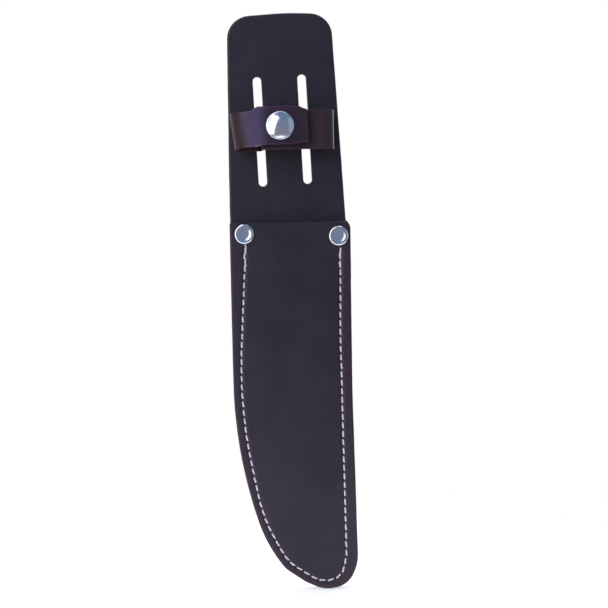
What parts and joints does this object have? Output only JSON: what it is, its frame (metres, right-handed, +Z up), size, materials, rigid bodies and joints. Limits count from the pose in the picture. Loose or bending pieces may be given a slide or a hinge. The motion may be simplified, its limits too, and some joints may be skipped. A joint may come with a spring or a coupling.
{
  "type": "hori hori knife sheath",
  "caption": "Long leather knife sheath: a stitched and riveted blade pocket below a belt plate with slots, and a snap strap for the handle.",
  "frame": {"origin": "on the back face of the belt plate, midway between the two slots", "axes": "+X to the right seen from the front, -Y out of the front face, +Z up along the sheath, away from its tip"},
  "size_m": [0.0627, 0.0281, 0.3],
  "materials": {
    "leather_body": "dyed and finished veg-tan leather, almost black brown",
    "leather_strap": "dyed leather with a reddish cast and a soft sheen",
    "leather_welt": "dyed leather, burnished edge",
    "thread": "waxed off-white thread",
    "nickel": "polished nickel plate",
    "spring_wire": "drawn wire"
  },
  "bodies": {
    "sheath": {"back_panel": "leather_body", "front_panel": "leather_body", "welt": "leather_welt", "front_stitches": "thread", "back_stitches": "thread", "rivet_caps": "nickel", "rivet_sleeves": "nickel", "rivet_posts": "nickel", "rivet_back_caps": "nickel"},
    "strap": {"strap": "leather_strap", "snap_stud": "nickel", "snap_post": "nickel"},
    "flap": {"flap": "leather_strap", "snap_cap": "nickel", "snap_barrel": "nickel", "snap_socket": "nickel", "snap_spring": "spring_wire"}
  },
  "joints": [
    {"name": "strap_slide", "type": "slide", "parent": "sheath", "child": "strap", "axis": [-0.0366, 0, 0.9993], "range_m": [-0.018, 0.018]},
    {"name": "flap_fold", "type": "hinge", "parent": "strap", "child": "flap", "pos_m": [-0.02303, -0.01895, -0.00085], "axis": [0.0366, 0, -0.9993], "range_deg": [0, 110]}
  ]
}
